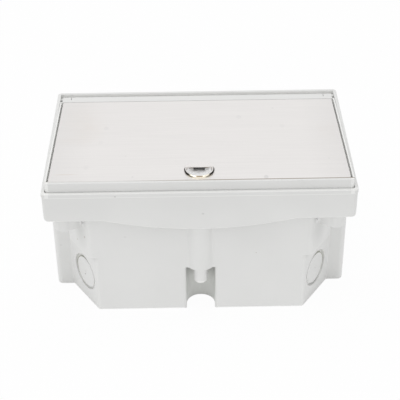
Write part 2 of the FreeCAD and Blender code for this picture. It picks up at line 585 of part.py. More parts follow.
def lid_tray():
    """Moulded lid: web, rim walls, drip channels, ribs, pivot studs and the slit hinge strip."""
    depth_y = hinge_y + lid_y
    mid_y = hinge_y - depth_y / 2
    slab = soften("tray_round", block("tray_block", (0, mid_y), (lid_x * 2, depth_y, s.lid_depth),
                  lid_foot), s.lid_corner, lambda e: upright(e) and e.BoundBox.YMin < 0)
    slab = soften("tray_soft", slab, s.lid_edge, lambda e:
                  e.BoundBox.ZMin > s.overall_height.value - 0.01 and e.BoundBox.YMin < 0)
    barrel = lying_cylinder("hinge_barrel", hinge_nose, lid_x * 2, -lid_x, hinge_y, hinge_z)
    rear_foot = hinge_y - s.hinge_drop - s.lid_wall
    hollow_x = plate_x - s.moat_wall
    inside = (rear_foot - lid_y + s.lid_wall) / 2
    inside_y = rear_foot + lid_y - s.lid_wall
    plate_mid = (plate_front + plate_back) / 2
    seat_y = plate_back - plate_front + s.plate_line
    strip_y = plate_back + s.plate_line + s.strip_lip
    strip_mid = (strip_y + lid_y + THROUGH) / 2
    strip_depth = lid_y + THROUGH - strip_y
    under = [block("tray_hollow", (0, inside), (hollow_x * 2, inside_y, s.lid_depth),
                   web_foot - s.lid_depth),
             block("hinge_relief", (0, hinge_y), ((lid_x + THROUGH) * 2, s.hinge_drop * 2, s.lid_depth),
                   hinge_z - hinge_nose - s.lid_depth),
             block("strip_top", (0, strip_mid), ((lid_x + THROUGH) * 2, strip_depth, s.lid_depth),
                   s.overall_height - s.strip_drop),
             block("rear_line", (0, plate_back + s.plate_line / 2), (plate_x * 2, s.plate_line,
                   s.line_depth + THROUGH), s.overall_height - s.line_depth)]
    for i, sign in enumerate((-1, 1)):
        under.append(block(f"strip_end_{i}", (lid_x * sign - s.strip_end_gap * (sign / 2)
                           + sign * THROUGH / 2, strip_mid), (s.strip_end_gap + THROUGH, strip_depth,
                           s.lid_depth * 2), lid_foot - THROUGH))
        under.append(block(f"moat_{i}", ((plate_x + s.plate_side_gap / 2) * sign, plate_mid
                           + s.plate_line / 2), (s.plate_side_gap, seat_y, s.moat_depth + THROUGH),
                           s.overall_height - s.moat_depth))
    seat = soften("plate_recess_round", block("plate_recess", (0, plate_mid + s.plate_line / 2),
                  ((lid_x - s.border_width) * 2, seat_y, s.plate_thickness * 2), plate_seat),
                  s.plate_corner, lambda e: upright(e) and e.BoundBox.YMin < 0)
    slab = cut("tray_shell", fuse("tray_solid", slab, barrel), *under, seat)
    extras = []
    rib_foot = web_foot + s.lid_rib_root - s.lid_rib_height
    for i in range(-2, 3):
        extras.append(block(f"tray_rib_{i + 2}", (s.lid_rib_pitch * i, inside),
                            (s.lid_rib, inside_y, s.lid_rib_height), rib_foot))
    for i in (-1, 1):
        extras.append(block(f"tray_cross_rib_{i + 1}", (0, inside + s.lid_rib_pitch * (i / 2)),
                            (hollow_x * 2, s.lid_rib, s.lid_rib_height), rib_foot))
    extras.append(cylinder("pull_boss", s.clip_radius + s.clip_boss_wall, s.clip_boss_height, 0, pull_y,
                           web_foot - s.clip_boss_height))
    for i, sign in enumerate((-1, 1)):
        extras.append(cylinder(f"bumper_boss_{i}", s.bumper_radius, web_foot - lid_foot,
                               (lid_x - s.bumper_setback) * sign, -lid_y + s.bumper_inset, lid_foot))
        reach = s.strip_end_gap + s.stud_length
        start = lid_x - s.strip_end_gap if sign > 0 else -lid_x - s.stud_length
        extras.append(lying_cylinder(f"stud_{i}", s.stud_radius, reach, start, hinge_y, hinge_z))
    holes = [cylinder("pull_hole", s.cup_radius + s.pull_play, s.lid_depth * 2, 0, pull_y,
                      lid_foot - s.lid_depth),
             cylinder("clip_well", s.clip_radius + s.pull_play, s.lid_depth, 0, pull_y,
                      web_foot - s.lid_depth)]
    for i, sign in enumerate((-1, 1)):
        holes.append(block(f"slit_{i}", ((lid_x - s.slit_setback) * sign, lid_y - s.slit_length / 2
                           + THROUGH / 2), (s.slit_width, s.slit_length + THROUGH, s.lid_depth * 2),
                           lid_foot - THROUGH))
    return cut("lid_tray", fuse("tray_ribbed", slab, *extras), *holes)


def lid_plate():
    """Stainless plate let into the tray, with a round hole for the finger pull."""
    sheet_metal = block("plate_blank", (0, (plate_front + plate_back) / 2), (plate_x * 2,
                        plate_back - plate_front, s.plate_thickness), plate_seat)
    sheet_metal = soften("plate_round", sheet_metal, s.plate_corner, upright)
    return cut("lid_plate", sheet_metal, cylinder("plate_hole", s.cup_radius + s.pull_play,
               s.plate_thickness + THROUGH * 2, 0, pull_y, plate_seat - THROUGH))


def finger_pull():
    """Chromed cup: a rounded bezel, a shallow dish, and a half-moon lip with a pocket under it."""
    top = s.overall_height + s.bezel_height
    bezel = cylinder("bezel", s.bezel_radius, s.bezel_height, 0, pull_y, s.overall_height)
    bezel = soften("bezel_soft", bezel, s.bezel_round, lambda e:
                   e.BoundBox.ZLength < 1e-6 and e.BoundBox.ZMin > s.overall_height.value + 0.1)
    cup = cylinder("cup", s.cup_radius, s.cup_depth, 0, pull_y, s.overall_height - s.cup_depth)
    dish = ball("dish_ball", s.dish_radius, 0, pull_y, top + s.dish_rise)
    span = s.dish_radius * 2 + THROUGH
    below = block("below_lip", (0, pull_y), (span, span, span), top - s.lip_thickness - span)
    ahead = block("ahead_of_lip", (0, pull_y + s.lip_setback - span / 2), (span, span, span),
                  top - span / 2)
    hollow = common("dish", dish, fuse("dish_reach", below, ahead))
    pocket_y = s.cup_radius - s.pocket_wall - s.lip_setback
    pocket = block("pocket", (0, pull_y + s.lip_setback + pocket_y / 2), (s.pocket_width, pocket_y,
                   s.pocket_depth - s.lip_thickness), top - s.pocket_depth)
    return cut("finger_pull", fuse("pull_solid", bezel, cup), hollow, pocket)


def pull_clip():
    """Spring washer pushed over the cup from inside the lid."""
    ring = cylinder("clip_disc", s.clip_radius, s.clip_thickness, 0, pull_y, web_foot - s.clip_thickness)
    bore = cylinder("clip_bore", s.cup_radius + s.pull_play / 2, s.clip_thickness + THROUGH * 2, 0,
                    pull_y, web_foot - s.clip_thickness - THROUGH)
    slots = [block(f"clip_slot_{i}", (0, pull_y), (*size, s.clip_thickness + THROUGH * 2),
                   web_foot - s.clip_thickness - THROUGH)
             for i, size in enumerate(((s.clip_slot_length, s.clip_slot),
                                       (s.clip_slot, s.clip_slot_length)))]
    return cut("pull_clip", ring, bore, *slots)


def lid_bumpers():
    pads = [cylinder(f"bumper_{i}", s.bumper_radius, s.bumper_height - s.lid_gap,
            (lid_x - s.bumper_setback) * sign, -lid_y + s.bumper_inset,
            lid_foot - s.bumper_height + s.lid_gap) for i, sign in enumerate((-1, 1))]
    return group("lid_bumpers", pads)


def module_centres():
    return {"left": -s.module_pitch, "middle": as_size(0), "right": s.module_pitch}


def device_plate():
    """Carrier for three modules on four posts of the box, with tongues into the end blocks."""
    slab = block("device_slab", (0, 0), (device_x * 2, device_y * 2, s.device_plate), s.device_level)
    slab = soften("device_slab_round", slab, s.device_corner, upright)
    tongue_x = mouth_x - s.body_wall - s.tongue_end_gap
    tongue_y = end_y - s.body_wall - s.tongue_side_gap
    tongue = block("device_tongue", (0, 0), (tongue_x * 2, tongue_y * 2, s.device_plate), s.device_level)
    solids = [slab, soften("device_tongue_round", tongue, s.device_corner - s.device_lip, upright)]
    for i, sign in enumerate((-1, 1)):
        solids.append(block(f"device_lip_{i}", (0, (device_y - s.device_lip / 2) * sign),
                            ((device_x - s.device_corner) * 2, s.device_lip, s.device_lip_height),
                            device_top))
    holes = []
    for side, x in module_centres().items():
        holes.append(block(f"module_opening_{side}", (x, 0), (module_opening, module_opening,
                           s.device_plate + THROUGH * 2), s.device_level - THROUGH))
    for i, (x, y) in enumerate(four_corners(post_x, post_y)):
        holes.append(cylinder(f"device_hole_{i}", s.plate_screw + s.hole_play, s.device_plate + THROUGH * 2,
                              x, y, s.device_level - THROUGH))
    return cut("device_plate", fuse("device_solid", *solids), *holes)


def device_plate_screws():
    screws = [pan_screw(f"device_screw_{i}", s.plate_screw, s.plate_screw_head, s.plate_screw_length,
              s.plate_screw_rise, x, y, device_top)
              for i, (x, y) in enumerate(four_corners(post_x, post_y))]
    return group("device_plate_screws", screws)


def socket_face(side):
    """Socket cover: flange, round well, two pin holes and slots for the earth contact."""
    x = module_centres()[side]
    flange = block(f"{side}_flange", (x, 0), (module_flange, module_flange, s.module_face), device_top)
    flange = soften(f"{side}_flange_round", flange, s.module_corner, upright)
    shell = block(f"{side}_shell", (x, 0), (module_body, module_body, device_top - socket_foot),
                  socket_foot)
    tools = [cylinder(f"{side}_well", well_radius, s.well_depth + THROUGH, x, 0, well_foot)]
    for i, sign in enumerate((-1, 1)):
        tools.append(cylinder(f"{side}_pin_{i}", s.pin_hole, s.socket_floor + THROUGH * 2,
                              x + s.pin_pitch * (sign / 2), 0, socket_foot - THROUGH))
        tools.append(block(f"{side}_earth_slot_{i}", (x, earth_reach * sign), (s.earth_width
                           + s.hole_play * 2, s.earth_slot, s.socket_floor + THROUGH * 2),
                           socket_foot - THROUGH))
    return cut(f"socket_{side}_face", fuse(f"{side}_face_solid", flange, shell), *tools)


def socket_base(side):
    """Rear housing of the socket, with the contact chambers and wire entries."""
    x = module_centres()[side]
    housing = block(f"{side}_housing", (x, 0), (module_body, module_body, s.base_depth), base_foot)
    housing = soften(f"{side}_housing_soft", housing, s.module_corner, upright)
    tools = [block(f"{side}_strap_groove", (x, 0), (s.earth_width + s.hole_play * 2,
             (earth_reach + s.earth_sheet * 2) * 2, s.earth_sheet * 2), socket_foot - s.earth_sheet)]
    for i, sign in enumerate((-1, 1)):
        tools.append(cylinder(f"{side}_chamber_{i}", s.contact_outer + s.hole_play,
                              s.contact_length + THROUGH, x + s.pin_pitch * (sign / 2), 0,
                              socket_foot - s.contact_length))
        tools.append(cylinder(f"{side}_wire_entry_{i}", s.wire_entry, s.base_depth,
                              x + s.pin_pitch * (sign / 2), s.wire_entry_y, base_foot - THROUGH))
    return cut(f"socket_{side}_base", housing, *tools)


def earth_contact(side):
    """U-shaped strip: a strap under the well and two sprung sides that reach up beside the plug."""
    x = module_centres()[side]
    strap = block(f"{side}_strap", (x, 0), (s.earth_width, earth_reach * 2 + s.earth_sheet,
                  s.earth_sheet), socket_foot - s.earth_sheet)
    pieces = [strap]
    for i, sign in enumerate((-1, 1)):
        pieces.append(block(f"{side}_leg_{i}", (x, earth_reach * sign), (s.earth_width,
                      s.earth_sheet, s.earth_height), socket_foot - s.earth_sheet))
        nose = lying_cylinder(f"{side}_nose_{i}", s.earth_nose, s.earth_width, x - s.earth_width / 2,
                              earth_reach * sign, socket_foot + s.earth_height - s.earth_nose * 2)
        inner = block(f"{side}_nose_side_{i}", (x, (earth_reach - s.earth_nose) * sign),
                      (s.earth_width, s.earth_nose * 2 + s.earth_sheet, s.earth_nose * 2),
                      socket_foot + s.earth_height - s.earth_nose * 3)
        pieces.append(common(f"{side}_nose_half_{i}", nose, inner))
    return fuse(f"earth_contact_{side}", *pieces)


def line_contacts(side):
    """Two brass sleeves that grip the plug's pins."""
    sleeves = []
    for i, sign in enumerate((-1, 1)):
        x = module_centres()[side] + s.pin_pitch * (sign / 2)
        foot = socket_foot - s.contact_length
        sleeve = cylinder(f"{side}_sleeve_{i}", s.contact_outer, s.contact_length, x, 0, foot)
        bore = cylinder(f"{side}_sleeve_bore_{i}", s.contact_inner, s.contact_length, x, 0,
                        foot + s.contact_floor)
        split = block(f"{side}_sleeve_split_{i}", (x, 0), (s.contact_split, s.contact_outer * 3,
                      s.contact_length), foot + s.contact_root)
        sleeves.append(cut(f"{side}_contact_{i}", sleeve, bore, split))
    return group(f"line_contacts_{side}", sleeves)


def data_face():
    """Cover of the middle module, with two data ports side by side and a shell for the jacks."""
    flange = block("data_flange", (0, 0), (module_flange, module_flange, s.module_face), device_top)
    flange = soften("data_flange_round", flange, s.module_corner, upright)
    shell = block("data_shell", (0, 0), (module_body, module_body, s.data_shell),
                  device_top - s.data_shell)
    hollow = block("data_hollow", (0, 0), (module_body - s.module_face * 2,
                   module_body - s.module_face * 2, s.data_shell), device_top - s.data_shell)
    tools = [hollow]
    for i, sign in enumerate((-1, 1)):
        tools.append(block(f"port_{i}", (s.port_pitch * (sign / 2), 0), (s.port_width, s.port_length,
                           s.module_face * 4), device_top - s.module_face * 2))
    return cut("data_face", fuse("data_solid", flange, shell), *tools)


def data_jack(side, sign):
    """Eight-way jack: a plain block with the stepped mouth of its plug."""
    x = s.port_pitch * (sign / 2)
    shell = block(f"{side}_jack_block", (x, 0), (s.jack_width, s.jack_length, s.jack_depth),
                  device_top - s.jack_depth)
    mouth = block(f"{side}_jack_mouth", (x, 0), (s.port_width - s.jack_wall * 2,
                  s.port_length - s.jack_wall * 2 - s.latch_depth, s.jack_mouth + THROUGH),
                  device_top - s.jack_mouth)
    latch = block(f"{side}_jack_latch", (x, -s.port_length / 2 + s.jack_wall + s.latch_depth / 2),
                  (s.latch_width, s.latch_depth, s.jack_mouth + THROUGH),
                  device_top - s.jack_mouth)
    return cut(f"data_jack_{side}", shell, mouth, latch)


def cable_clamp(side, sign):
    """Saddle bar that holds the cables down on two posts of the box."""
    length = s.clamp_pitch + s.clamp_post * 2
    x = clamp_x * sign
    bar = block(f"{side}_clamp_bar", (x, 0), (s.clamp_width, length, s.clamp_height), s.clamp_level)
    bar = soften(f"{side}_clamp_soft", bar, s.clamp_round, upright)
    arch = lying_cylinder(f"{side}_clamp_arch", s.clamp_arch, s.clamp_width + THROUGH * 2,
                          x - s.clamp_width / 2 - THROUGH, 0, s.clamp_level - s.clamp_arch_drop)
    tools = [arch]
    for i, way in enumerate((-1, 1)):
        tools.append(cylinder(f"{side}_clamp_bore_{i}", s.clamp_screw + s.hole_play,
                              s.clamp_height * 3, x, s.clamp_pitch * (way / 2), s.clamp_level
                              - s.clamp_height))
    return cut(f"cable_clamp_{side}", bar, *tools)


def clamp_screws():
    seat = s.clamp_level + s.clamp_height
    screws = [pan_screw(f"clamp_screw_{i}", s.clamp_screw, s.clamp_screw_head, s.clamp_screw_length,
              s.plate_screw_rise, x, y, seat)
              for i, (x, y) in enumerate(four_corners(clamp_x, s.clamp_pitch / 2))]
    return group("clamp_screws", screws)


def terminal_spots():
    pitch = s.terminal_length / s.terminal_count
    return [pitch * (i - (s.terminal_count.value - 1) / 2) for i in range(int(s.terminal_count.value))]


def earth_terminal():
    """Brass bar with cross bores for the earth wires and tapped holes for their screws."""
    foot = s.body_floor + s.terminal_seat
    bar = block("terminal_bar", (0, terminal_y), (s.terminal_length, s.terminal_width,
                s.terminal_height), foot)
    tools = []
    for i, x in enumerate(terminal_spots()):
        bore = bind(doc.addObject("Part::Cylinder", f"terminal_bore_{i}"), Radius=s.terminal_bore,
                    Height=s.terminal_width + THROUGH * 2)
        bore.Placement = Placement(Vector(), Rotation(Vector(1, 0, 0), -90))
        tools.append(place(bore, x, terminal_y - s.terminal_width / 2 - THROUGH,
                           foot + s.terminal_bore_rise))
        tools.append(cylinder(f"terminal_tap_{i}", s.terminal_screw + s.screw_play, s.terminal_height,
                              x, terminal_y, foot + s.terminal_bore_rise))
    return cut("earth_terminal", bar, *tools)


def earth_terminal_screws():
    top = s.body_floor + s.terminal_seat + s.terminal_height
    screws = []
    for i, x in enumerate(terminal_spots()):
        rod = cylinder(f"terminal_grub_{i}", s.terminal_screw, s.terminal_height / 2, x, terminal_y,
                       top - s.terminal_height / 2 + s.terminal_screw_rise)
        slot = block(f"terminal_grub_slot_{i}", (x, terminal_y), (s.terminal_screw * 3,
                     s.small_slot_width, s.slot_depth * 2), top)
        screws.append(cut(f"terminal_screw_{i}", rod, slot))
    return group("earth_terminal_screws", screws)


fixed_pieces = [
    box_body(), trim_frame(), corner_screws(), height_screws(), device_plate(), device_plate_screws(),
    socket_face("left"), socket_base("left"), earth_contact("left"), line_contacts("left"),
    socket_face("right"), socket_base("right"), earth_contact("right"), line_contacts("right"),
    data_face(), data_jack("left", -1), data_jack("right", 1),
    cable_clamp("left", -1), cable_clamp("right", 1), clamp_screws(),
    earth_terminal(), earth_terminal_screws(),
]
lid_pieces = [lid_tray(), lid_plate(), finger_pull(), pull_clip(), lid_bumpers()]
doc.recompute()

opened = Placement(Vector(), Rotation(Vector(1, 0, 0), -s.lid_ajar.value),
                   Vector(0, hinge_y.value, hinge_z.value))
for piece in lid_pieces:
    piece.Placement = opened
doc.recompute()

for obj in doc.Objects:
    if "Invalid" in obj.State or "Error" in obj.State:
        raise RuntimeError(f"{obj.Label} failed: {obj.State}")
os.makedirs("parts", exist_ok=True)
for piece in fixed_pieces + lid_pieces:
    shape = piece.Shape
    if shape.isNull() or not shape.isValid():
        raise RuntimeError(f"{piece.Label} has no valid shape")
    shape.exportStep(f"parts/{piece.Label}.step")
    print(f"{piece.Label}: {len(shape.Solids)} solids, {shape.Volume / 1000:.2f} cm3")
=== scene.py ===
"""Looks of the floor box: materials for every piece, a pale studio and the photograph's camera."""
import functools
import math

import bpy
from mathutils import Matrix, Vector

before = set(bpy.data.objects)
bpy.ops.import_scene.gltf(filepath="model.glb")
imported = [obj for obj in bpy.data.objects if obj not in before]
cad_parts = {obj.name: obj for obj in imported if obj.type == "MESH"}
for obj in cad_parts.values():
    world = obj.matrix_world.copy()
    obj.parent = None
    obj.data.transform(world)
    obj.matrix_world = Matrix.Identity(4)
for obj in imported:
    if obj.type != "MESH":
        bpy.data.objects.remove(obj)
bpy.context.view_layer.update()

MM = 0.001


def colour(red, green, blue):
    """A colour as it shows on screen, 0 to 255, turned into linear light."""
    linear = []
    for channel in (red, green, blue):
        c = channel / 255
        linear.append(c / 12.92 if c <= 0.04045 else ((c + 0.055) / 1.055) ** 2.4)
    return (*linear, 1.0)


# The photograph's camera, fitted to the frame's rim and the base line
FOCAL_PIXELS = 1125
IMAGE_PIXELS = 400
SENSOR_MM = 36
CLIP_START = 10 * MM
CAMERA_PLACE = (-4.44 * MM, -646.58 * MM, 497.55 * MM)
CAMERA_PITCH = math.radians(34.727)
CAMERA_YAW = math.radians(-0.447)
CAMERA_ROLL = math.radians(0.661)

# The floor: its reach, the strength of its white, the share of that white where it is seen and
# where it lights the object from below, and the fades at the box's footprint, which gives none
FLOOR_REACH = 6.0
FLOOR_WHITE = 1.0
FLOOR_WHITE_SHARE = 0.955
FLOOR_BOUNCE_SHARE = 1.0
FLOOR_ROUGHNESS = (0.85, 0.95)
FOOTPRINT_ACROSS = (101 * MM, 98 * MM)
FOOTPRINT_ALONG = (60 * MM, 56 * MM)

# The sky: its level low down and overhead, how much lighter its left side is, and the dark room
# that bright metal mirrors low down at both sides
SKY_LOW, SKY_HIGH, SKY_TILT = 0.565, 0.785, 0.10
SKY_BAND = (-0.1, 0.9)
ROOM_ASIDE = (0.62, 0.8)
ROOM_LOW = (0.62, 0.45)
ROOM_DARKNESS = 0.97

# The one lamp, a wide soft one above the box
SOFTBOX_PLACE = (-0.1, 0.0, 1.2)
SOFTBOX_TARGET = (0, 0, 0.05)
SOFTBOX_SIZE = (1.0, 0.8)
SOFTBOX_WATTS = 3.3

# Tones as they show on screen
PLASTIC_TONE = colour(230.5, 230.7, 229.2)
PLATE_TONE = colour(230.9, 228.5, 226.9)
FLOOR_TONE = colour(246, 246, 246)
SPECK_TONE = colour(150, 135, 110)
SHADE_LOW_TONE = colour(226, 227, 224)
SHADE_HIGH_TONE = colour(205, 206, 203)
# A painted highlight on the screw tubes
TUBE_HIGHLIGHT_TONE = colour(241, 241, 240)
# Painted highlights on edges, ledges, the rim and the lid's borders
HIGHLIGHT_TONE = colour(252, 252, 250)
LINE_TONE = colour(130, 112, 94)
# Painted shade in the knock-outs' ring grooves
GROOVE_SHADE_TONE = colour(168, 170, 156)
STAIN_TONE = colour(208, 194, 178)
# Finger prints on the plate, and the painted shade towards its sides
PRINT_AND_SHADE_TONE = colour(186, 186, 186)
CHROME_TONE = colour(233, 230, 228)
DISH_TONE = colour(255, 255, 255)
DISH_CLOUD_TONE = colour(240, 238, 236)
# Painted reflections on the pull's bezel
BEZEL_FRONT_REFLECTION_TONE = colour(252, 244, 226)
BEZEL_SIDE_REFLECTION_TONE = colour(36, 30, 25)
BEZEL_BROWN_REFLECTION_TONE = colour(116, 99, 77)
# Painted reflections at the lip's ends, and painted shade in its slot and pocket
LIP_FOOT_REFLECTION_TONE = colour(122, 110, 92)
SLOT_SHADE_TONE = colour(34, 30, 26)

# The middle range of a noise, which is taken to two limits
NOISE_RANGE = (0.3, 0.7)

# Moulded plastic: the drift of its tone, its grain, and its few dust specks
DRIFT_SCALE, DRIFT = 28.0, 0.015
GRAIN_SCALE, GRAIN_DEPTH = 2600.0, 0.06 * MM
PLASTIC_ROUGHNESS_SPREAD = 0.04
PLASTIC_IOR = 1.49
SPECK_SCALE = 90.0
SPECK_CHOICE = 0.93
SPECK_FADE = (0.018, 0.035)
SPECK_AMOUNT = 0.55

# The plate's brushing, much longer along X than across, its patchy stains, and a painted shade towards its
# sides
BRUSH_SCALE = (19.2, 900.0, 900.0)
BRUSH_CONTRAST = 0.03
BRUSH_DEPTH = 0.05 * MM
PLATE_ROUGHNESS, PLATE_ROUGHNESS_SPREAD = 0.36, 0.05
STAIN_PATCHES = (0.3, 0.68, 0.35, 1.0)
STAIN_SOFTNESS = 0.6
PRINT_SOFTNESS = 0.25
PRINT_STRETCH = (1.0, 1.7, 4.0)
PLATE_SIDE_SHADE = (70 * MM, 100 * MM, 0.0, 0.16)

# Stains and one short scratch on the plate: centre and radii in metres, and amount
PLATE_STAINS = [
    ((-0.0800, 0.0240, 0.1020), (0.0120, 0.0200, 0.0200), 0.10),
    ((-0.0740, 0.0060, 0.1030), (0.0080, 0.0160, 0.0200), 0.08),
    ((-0.0850, -0.0060, 0.1030), (0.0110, 0.0050, 0.0200), 0.08),
    ((0.0890, 0.0030, 0.1030), (0.0070, 0.0110, 0.0200), 0.07),
    ((-0.0851, -0.0508, 0.1058), (0.0060, 0.0006, 0.0200), 0.45),
]

# Round finger prints and small nicks on the plate: centre and radius in metres, and amount
PLATE_PRINTS = [
    ((-0.0624, 0.0103, 0.1026), 0.0016, 0.12),
    ((0.0282, 0.0241, 0.1019), 0.0017, 0.11),
    ((0.0420, -0.0575, 0.1062), 0.0014, 0.30),
    ((-0.0724, -0.0422, 0.1053), 0.0016, 0.08),
    ((-0.0650, -0.0100, 0.1036), 0.0015, 0.06),
    ((0.0569, 0.0104, 0.1026), 0.0015, 0.08),
    ((-0.0476, -0.0281, 0.1046), 0.0005, 0.14),
    ((0.0840, -0.0349, 0.1049), 0.0005, 0.16),
    ((-0.0422, -0.0551, 0.1060), 0.0006, 0.20),
    ((0.0524, 0.0369, 0.1012), 0.0007, 0.15),
]

# Painted shade under the corner towers' webs, painted light in their creases, and single dust specks on
# the moulding:
# centre and radii in metres, tone, amount and softness
BODY_SHADES_LIGHTS_AND_SPECKS = [
    ((-0.0787, -0.0500, 0.0640), (0.0060, 0.0070, 0.0110), (198, 199, 196), 0.50, 0.6),
    ((0.0785, -0.0500, 0.0640), (0.0070, 0.0080, 0.0120), (192, 193, 191), 0.42, 0.6),
    ((-0.0768, -0.0535, 0.0720), (0.0024, 0.0024, 0.0040), (255, 255, 255), 0.80, 0.4),
    ((0.0768, -0.0535, 0.0720), (0.0024, 0.0024, 0.0040), (255, 255, 255), 0.95, 0.4),
    ((-0.0756, -0.0550, 0.0595), (0.0005, 0.0008, 0.0007), (140, 118, 92), 0.50, 0.3),
    ((-0.0815, -0.0456, 0.0510), (0.0005, 0.0008, 0.0006), (150, 130, 105), 0.38, 0.3),
    ((-0.0952, -0.0295, 0.0342), (0.0007, 0.0008, 0.0007), (150, 150, 148), 0.12, 0.4),
    ((-0.0786, -0.0442, 0.0203), (0.0005, 0.0008, 0.0006), (130, 128, 122), 0.70, 0.3),
    ((-0.0489, -0.0585, 0.0616), (0.0009, 0.0008, 0.0006), (186, 186, 184), 0.15, 0.4),
    ((0.0019, -0.0647, 0.0836), (0.0008, 0.0008, 0.0006), (196, 196, 194), 0.50, 0.4),
    ((-0.0532, -0.0650, 0.0978), (0.0006, 0.0008, 0.0005), (186, 186, 184), 0.60, 0.4),
]

# Painted light: the body below the skirt is painted a little lighter
LOWER_BODY_FADE = (90 * MM, 78 * MM)
LOWER_BODY_LIGHT_GAIN = 1.028

# The half-round channels of the long walls, with painted shade on their walls, and the screw tube inside
# each, with a painted highlight
TUBE_PLACE = 52.6 * MM
TUBE_REACH = 4.9 * MM
CHANNEL_REACH = 9.6 * MM
CHANNEL_FACE = 58.2 * MM
CHANNEL_FACE_FADE = 2 * MM
CHANNEL_TOP = 36.0 * MM
CHANNEL_SHADE_RISE = (18 * MM, 33 * MM)

# Painted highlights on the trim frame's rim: the step line round its outer faces, its top, and the inner
# walls
RIM_TOP = 100 * MM
RIM_TOP_DEPTH = 1.5 * MM
RIM_TOP_LIGHT = 0.4
RIM_STEP = 97.1 * MM
RIM_STEP_FADE = (0.5 * MM, 0.25 * MM)
RIM_STEP_LIGHT = 0.5
RIM_OUTER_FACES = (99.4 * MM, 64.4 * MM)
RIM_INNER_WALL = 62.2 * MM
RIM_INNER_DEPTH = 1.5 * MM
RIM_INNER_FADE = 0.5 * MM

# A painted highlight on the lid's borders beside the plate
BORDER_MIDDLE = 96.2 * MM
BORDER_FADE = (1.25 * MM, 1.1 * MM)
BORDER_DEPTH = 3 * MM
BORDER_REAR = 52 * MM
BORDER_LIGHT = 0.62

# Which way a face looks, by one part of its normal
UNDERSIDE_FROM = (-0.05, -0.3)
UNDERSIDE_TO = (-0.98, -0.92)
UPRIGHT_FADE = (0.4, 0.2)
ROUNDED_FROM = (0.05, 0.25)
ROUNDED_TO = (0.75, 0.6)
LOOKS_UP = 0.4
LOOKS_FORWARD = -0.5
LOOKS_ALONG = 0.6

# Painted highlights on the corners' upright edges and the ledge between the facets' two steps, and painted
# shade under it
EDGE_FROM = 62 * MM
EDGE_BAND = (50 * MM, 60 * MM)
EDGE_LIGHT = 0.14
FACET_ACROSS = (67 * MM, 69.5 * MM)
FACET_ALONG = (30 * MM, 34 * MM)
LEDGE_HEIGHT = 44.5 * MM
LEDGE_FROM = (-0.1 * MM, 0.1 * MM)
LEDGE_TO = (0.9 * MM, 0.5 * MM)
LEDGE_LIGHT = 0.25
LEDGE_SHADE_FADE = (-4.5 * MM, -0.3 * MM)
LEDGE_SHADE = 0.5

# The corner knock-out's middle, the way its facet looks, and the painted shade in its groove, darker on
# its far side and less dark at its foot
KNOCKOUT_PLACE = (78.2 * MM, 45.45 * MM, 23.0 * MM)
KNOCKOUT_WAY = (0.8351, 0.5500)
GROOVE_DEPTHS = (-2 * MM, -0.35 * MM)
GROOVE_RADII = (11 * MM, 13.5 * MM)
GROOVE_REACH = (-4 * MM, 7 * MM, 0.05, 0.95)
GROOVE_RISE = (-12 * MM, -4 * MM, 0.2, 1.0)

# Painted shade on the end blocks' front and rear faces
BLOCK_FACE = (28.5 * MM, 31.5 * MM)
BLOCK_FROM = 89 * MM
BLOCK_FADE = (97.2 * MM, 95.8 * MM)
BLOCK_SHADE = 0.11

# The lid rests 3 degrees open about its hinge; these places, in Y and Z, are of the closed lid
LID_AJAR = math.radians(3)
HINGE_PLACE = (59.4 * MM, 97.0 * MM)
PULL_TOP = (-48.4 * MM, 101.2 * MM)
PLATE_FRONT = -60.3 * MM
PLATE_LINE_FADE = (0.55 * MM, 0.35 * MM)
PLATE_LINE_RISE = (2.4 * MM, 2.7 * MM)
PLATE_LINE_ACROSS = (-50 * MM, 10 * MM, 0.25, 1.0)
TRAY_LINE_AMOUNT = 0.8

# The finger pull from its top centre: its bezel and lip ends with painted reflections, dish, and the lip's
# slot and pocket with painted shade
BEZEL_FROM = (8.7 * MM, 9.1 * MM)
BEZEL_INNER_TO = (9.8 * MM, 9.55 * MM)
BEZEL_FRONT_BACK = (-5.0 * MM, -7.0 * MM)
BEZEL_SIDE_ACROSS = (5.6 * MM, 6.6 * MM)
BEZEL_SIDE_BACK = (3.4 * MM, 0.4 * MM)
BEZEL_BROWN_ACROSS = (2.5 * MM, 1.8 * MM)
BEZEL_BROWN_BACK = (-8.7 * MM, -9.2 * MM)
BEZEL_BROWN_RISE = (-0.85 * MM, -0.65 * MM)
DISH_FROM = (-0.9 * MM, -1.05 * MM)
DISH_CLOUDS = (0.45, 0.68)
BEZEL_ROUGHNESS = (0.05, 0.1)
DISH_ROUGHNESS = (0.3, 0.4)
LIP_SETBACK = 2.6 * MM
LIP_FACE_DEPTH = 0.1 * MM
LIP_FACE_TOP = (-0.45 * MM, -0.6 * MM)
LIP_FACE_FOOT = (-1.2 * MM, -1.12 * MM)
LIP_FOOT_ACROSS = (7.2 * MM, 5.0 * MM)
SLOT_ACROSS = (4.15 * MM, 3.55 * MM)
POCKET_HALF_WIDTH = 3.85 * MM
POCKET_BACK = (4.7 * MM, 5.1 * MM)
POCKET_RISE = (-3.95 * MM, -3.7 * MM)


